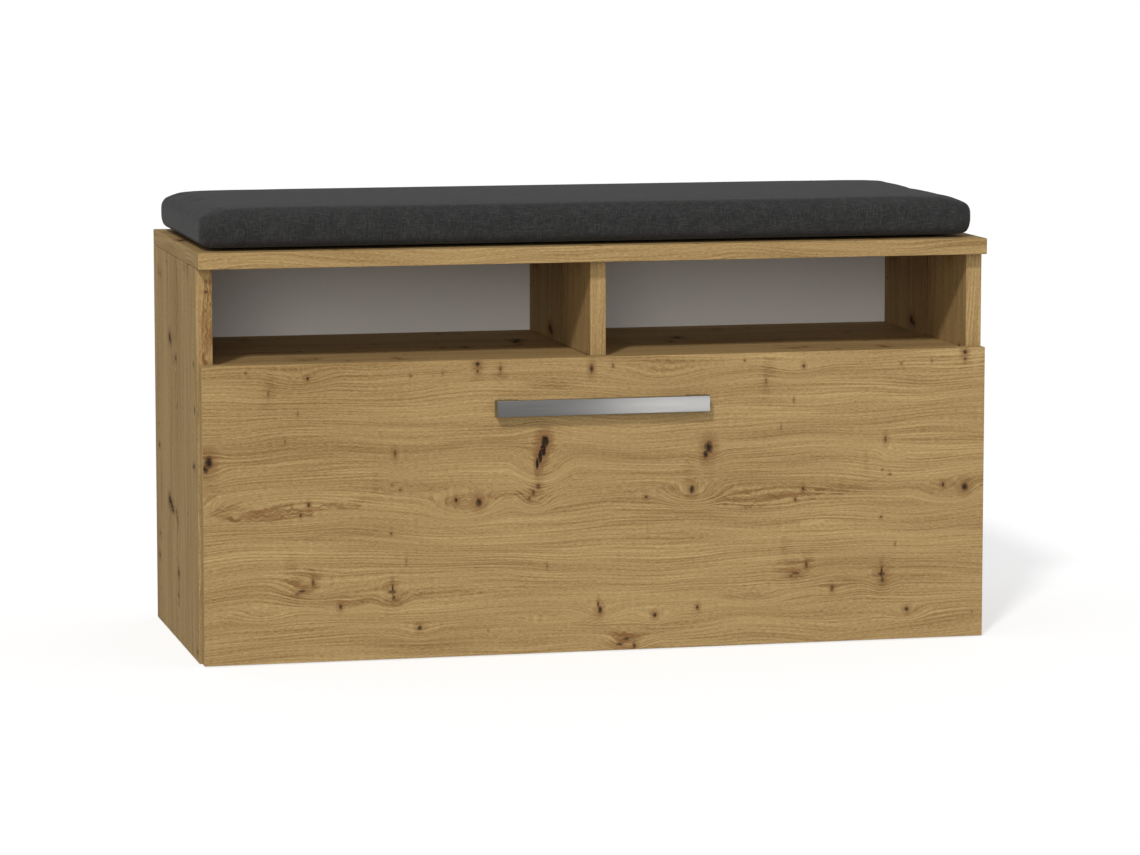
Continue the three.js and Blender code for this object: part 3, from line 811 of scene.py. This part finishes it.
def swell(form, look, floor):
    """Remeshes a form evenly, blows it up as cloth, and keeps the underside flat."""
    steps = 20
    held_height = 4 * MM
    # how steeply the top falls near its ends and near its long sides
    end_power = 16
    side_power = 6
    remesh = form.modifiers.new("cells", "REMESH")
    remesh.mode = "VOXEL"
    remesh.voxel_size = look.voxel
    bm = settled_mesh(form)
    form.modifiers.clear()
    bm.to_mesh(form.data)
    bm.free()
    mesh = form.data
    start = [v.co.copy() for v in mesh.vertices]
    held = form.vertex_groups.new(name="held")
    held.add([v.index for v in mesh.vertices if v.co.z < floor + held_height], 1.0, "REPLACE")

    cloth = form.modifiers.new("cloth", "CLOTH")
    cloth.settings.use_pressure = True
    cloth.settings.uniform_pressure_force = look.pressure
    cloth.settings.effector_weights.gravity = 0
    cloth.settings.vertex_group_mass = "held"
    cloth.settings.tension_stiffness = 20
    cloth.settings.bending_stiffness = 2.0
    cloth.settings.quality = 5
    cloth.point_cache.frame_start = 1
    cloth.point_cache.frame_end = steps
    scene = bpy.context.scene
    for step in range(1, steps + 1):
        scene.frame_set(step)
    bm = settled_mesh(form)
    bm.verts.ensure_lookup_table()
    blown = [v.co.copy() for v in bm.verts]
    bm.free()
    form.modifiers.clear()
    scene.frame_set(1)
    # the cover only swells: what the pressure pulls in at the edges stays where it was
    outward = [v.normal.copy() for v in mesh.vertices]
    reach = form.dimensions / 2
    middle = sum((Vector(corner) for corner in form.bound_box), Vector()) / 8
    for vertex, before, after, normal in zip(mesh.vertices, start, blown, outward):
        rise = min(max((after - before).dot(normal), 0), look.swell_limit)
        vertex.co = before + normal * rise
        # the foam is thinner towards its rim, so the top falls away evenly all round
        along = abs(before.x - middle.x) / reach.x
        across = abs(before.y - middle.y) / reach.y
        height = (before.z - floor) / (2 * reach.z)
        rim = min(along ** end_power + across ** side_power, 1)
        vertex.co.z -= look.crown * rim * max(height, 0) ** 2
    bm = bmesh.new()
    bm.from_mesh(mesh)
    for _ in range(3):
        bmesh.ops.smooth_vert(bm, verts=bm.verts, factor=0.5, use_axis_x=True,
                              use_axis_y=True, use_axis_z=True)
    bmesh.ops.subdivide_edges(bm, edges=bm.edges, cuts=1, smooth=0.6, use_grid_fill=True)
    bm.to_mesh(mesh)
    bm.free()


class BENCH_OT_stage(bpy.types.Operator):
    """Sets up the pale floor, the soft studio light and the camera"""
    bl_idname = "bench.stage"
    bl_label = "Stage"

    def execute(self, context):
        scene = context.scene
        look = scene.bench_stage
        bm = bmesh.new()
        bmesh.ops.create_grid(bm, x_segments=1, y_segments=1, size=30)
        floor = temporary("floor", bm)
        pale, tree = new_material("pale_studio_paper")
        surface(tree, Base_Color=linear("#C4C4C4"), Roughness=0.9, Specular_IOR_Level=0.0,
                Emission_Color=linear("#FFFFFF"), Emission_Strength=0.58)
        floor.data.materials.append(pale)
        # the sheet lights nothing itself, so that the room light is the same from all round
        floor.visible_diffuse = False
        floor.visible_glossy = False

        target = Vector((-0.009, -0.052, 0.2135))
        back = Vector((sin(look.azimuth) * cos(look.elevation),
                       -cos(look.azimuth) * cos(look.elevation),
                       sin(look.elevation)))
        lens = bpy.data.cameras.new("camera")
        lens.lens = look.lens
        lens.clip_end = 100
        camera = bpy.data.objects.new("camera", lens)
        camera.location = target + back * look.distance
        camera.rotation_mode = "QUATERNION"
        camera.rotation_quaternion = (-back).to_track_quat("-Z", "Y")
        scene.collection.objects.link(camera)
        scene.camera = camera

        towards_key = Vector((-0.373, -0.694, 0.617))
        self.hang("key_light", "SUN", look.key_strength, towards_key, angle=look.key_spread)
        front = self.hang("front_light", "SUN", look.fill_strength, Vector((-0.22, -0.96, 0.16)),
                          angle=radians(28))
        front.visible_glossy = False
        # a small card that only shows as the bright end of the reflection in the handle
        bar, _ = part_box("handle")
        in_front, below, right_of_middle = 0.49, 0.06, 0.35
        card = self.hang("handle_card", "AREA", 1.15, Vector((0, -1, 0)), size=0.42)
        card.location = (right_of_middle, bar.y - in_front, bar.z - below)
        card.visible_diffuse = False
        card.visible_camera = False

        world = bpy.data.worlds.new("room")
        world.use_nodes = True
        tree = world.node_tree
        tree.nodes.clear()
        seen = add(tree, "ShaderNodeLightPath", output="Is Camera Ray")
        strength = add(tree, "ShaderNodeMapRange", (seen, 0, 1, look.ambient, 1.05))
        glow = add(tree, "ShaderNodeBackground", ((1, 1, 1, 1), strength))
        add(tree, "ShaderNodeOutputWorld", {"Surface": glow})
        scene.world = world
        scene.view_settings.view_transform = "Standard"
        return {"FINISHED"}

    @staticmethod
    def hang(name, kind, energy, direction, **settings):
        """Adds a light in a direction from the bench, turned to it."""
        bench_middle = Vector((0, 0, 0.22))
        distance = 4.5
        light = bpy.data.lights.new(name, kind)
        light.energy = energy
        for key, value in settings.items():
            setattr(light, key, value)
        lamp = bpy.data.objects.new(name, light)
        lamp.location = bench_middle + direction.normalized() * distance
        lamp.rotation_mode = "QUATERNION"
        lamp.rotation_quaternion = (-direction).to_track_quat("-Z", "Y")
        bpy.context.scene.collection.objects.link(lamp)
        return lamp


class BENCH_PT_panel(bpy.types.Panel):
    """Lists the operators that build the bench"""
    bl_label = "Entryway Bench"
    bl_space_type = "VIEW_3D"
    bl_region_type = "UI"
    bl_category = "Bench"

    def draw(self, context):
        scene = context.scene
        for group in ("bench_stage", "bench_boards", "bench_handle", "bench_cushion"):
            column = self.layout.column(align=True)
            settings = getattr(scene, group)
            for name in settings.bl_rna.properties.keys():
                if name not in ("name", "rna_type"):
                    column.prop(settings, name)
        for operator in OPERATORS:
            self.layout.operator(operator.bl_idname)


SETTINGS = {
    "bench_boards": BenchBoardSettings,
    "bench_cushion": BenchCushionSettings,
    "bench_handle": BenchHandleSettings,
    "bench_stage": BenchStageSettings,
}
OPERATORS = (BENCH_OT_stage, BENCH_OT_case, BENCH_OT_drawer, BENCH_OT_handle,
             BENCH_OT_slides, BENCH_OT_fittings, BENCH_OT_cushion)


def register():
    for kind in (*SETTINGS.values(), *OPERATORS, BENCH_PT_panel):
        bpy.utils.register_class(kind)
    for name, kind in SETTINGS.items():
        setattr(bpy.types.Scene, name, bpy.props.PointerProperty(type=kind))


def unregister():
    for name in SETTINGS:
        delattr(bpy.types.Scene, name)
    for kind in reversed((*SETTINGS.values(), *OPERATORS, BENCH_PT_panel)):
        bpy.utils.unregister_class(kind)


def main():
    register()
    bpy.ops.bench.stage()
    bpy.ops.bench.case()
    bpy.ops.bench.drawer()
    bpy.ops.bench.handle()
    bpy.ops.bench.slides()
    bpy.ops.bench.fittings()
    bpy.ops.bench.cushion()


if __name__ == "__main__":
    main()
